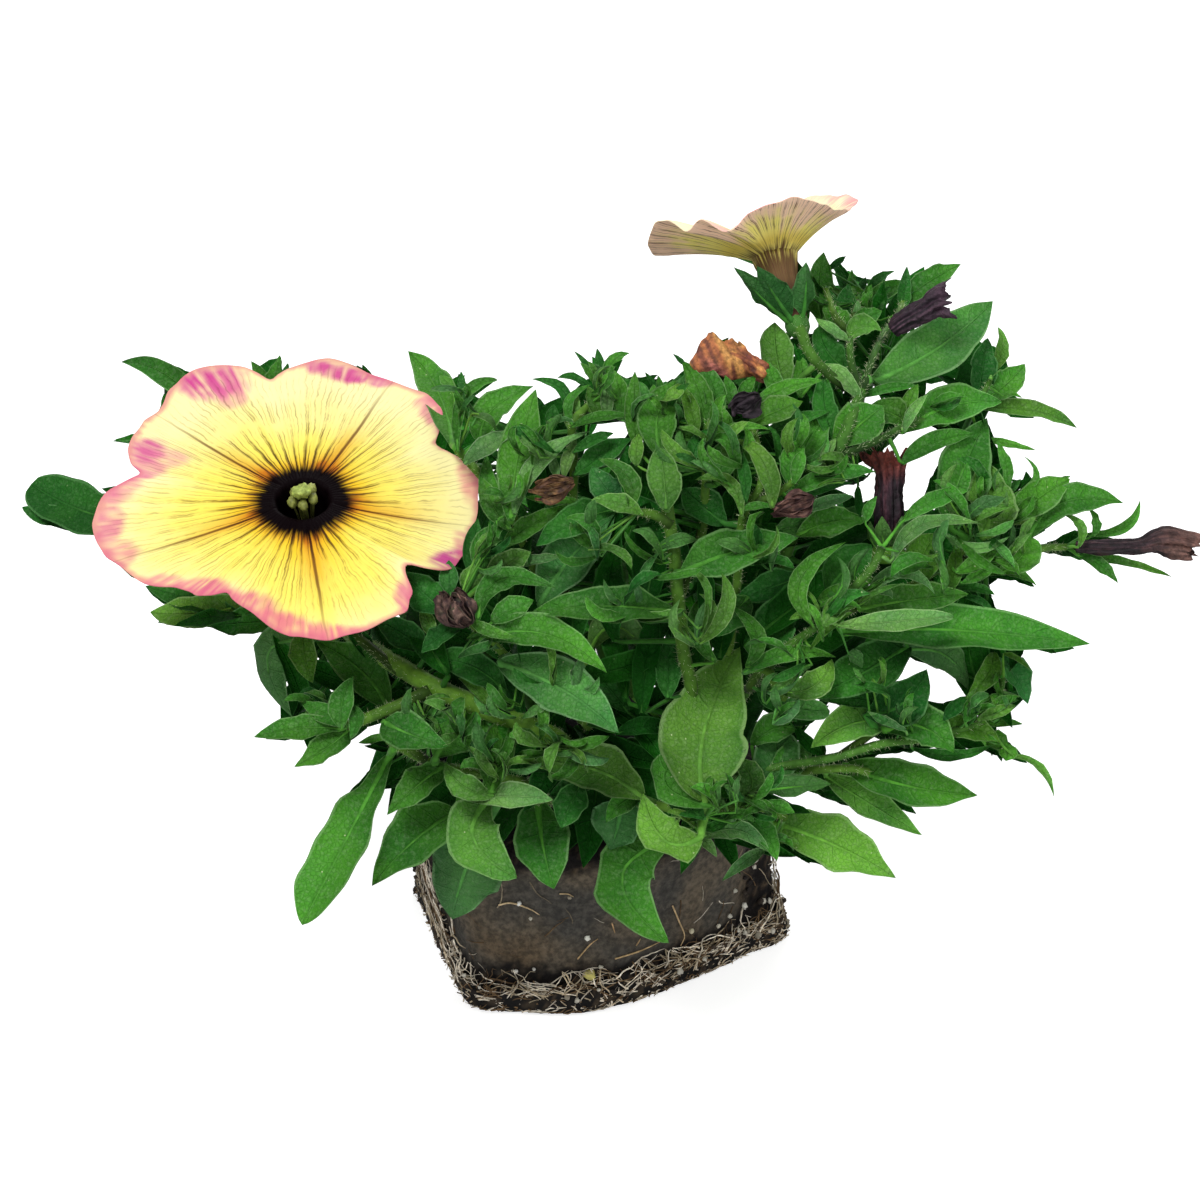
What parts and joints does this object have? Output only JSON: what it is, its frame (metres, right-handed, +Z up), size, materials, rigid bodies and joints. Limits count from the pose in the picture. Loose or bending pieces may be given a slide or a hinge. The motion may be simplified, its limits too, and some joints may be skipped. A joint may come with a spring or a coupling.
{
  "type": "flowering petchoa plant plug",
  "caption": "Young trailing petchoa out of its pot: a pressed peat root ball with matted roots, leafy hairy shoots, an open yellow and pink flower, a flower seen from behind and withered blooms",
  "frame": {"origin": "on the floor, at the middle of the flat face that the root ball stands on", "axes": "+Z up; -Y is the side that faces the viewer in the picture; +X to the viewer's right, the long way of the plant"},
  "size_m": [0.1972, 0.1218, 0.137],
  "materials": {
    "peat": "matte, moist, pressed peat",
    "roots": "matte, fibrous",
    "stem": "hairy, matte",
    "shoot": "soft, hairy, slight sheen",
    "leaf": "soft, hairy, slight sheen",
    "calyx": "soft, hairy",
    "petal_front": "silky, thin",
    "petal_back": "silky, veined",
    "pistil": "matte",
    "withered_orange": "dry, crumpled",
    "withered_dark": "dry, crumpled"
  },
  "bodies": {
    "root": {"black_bud": "withered_dark", "calyx_main": "calyx", "calyx_top": "calyx", "calyx_upright": "calyx", "corolla_front": "petal_front", "corolla_top": "petal_back", "crown": "stem", "leaf_01": "leaf", "leaf_02": "leaf", "leaf_03": "leaf", "leaf_04": "leaf", "leaf_05": "leaf", "leaf_06": "leaf", "leaf_07": "leaf", "leaf_08": "leaf", "leaf_09": "leaf", "leaf_10": "leaf", "leaf_11": "leaf", "leaf_12": "leaf", "leaf_13": "leaf", "leaf_14": "leaf", "leaf_15": "leaf", "leaf_16": "leaf", "leaf_17": "leaf", "leaf_18": "leaf", "leaf_19": "leaf", "leaf_20": "leaf", "pistil_front": "pistil", "root_ball": "peat", "root_band": "roots", "shoot_back_left": "shoot", "shoot_back_middle": "shoot", "shoot_back_right": "shoot", "shoot_behind_flower": "shoot", "shoot_centre": "shoot", "shoot_centre_left": "shoot", "shoot_front": "shoot", "shoot_front_left": "shoot", "shoot_front_right": "shoot", "shoot_left": "shoot", "shoot_low_left": "shoot", "shoot_low_right": "shoot", "shoot_main": "shoot", "shoot_right": "shoot", "shoot_right_far": "shoot", "shoot_right_upper": "shoot", "shoot_top_centre": "shoot", "shoot_top_mid": "shoot", "shoot_top_right": "shoot", "shoot_upper_left": "shoot", "shoot_upper_right": "shoot", "withered_bit": "withered_dark", "withered_brown": "withered_dark", "withered_far_right": "withered_dark", "withered_left_bud": "withered_dark", "withered_orange": "withered_orange", "withered_purple": "withered_dark", "withered_upright": "withered_dark"}
  },
  "joints": []
}
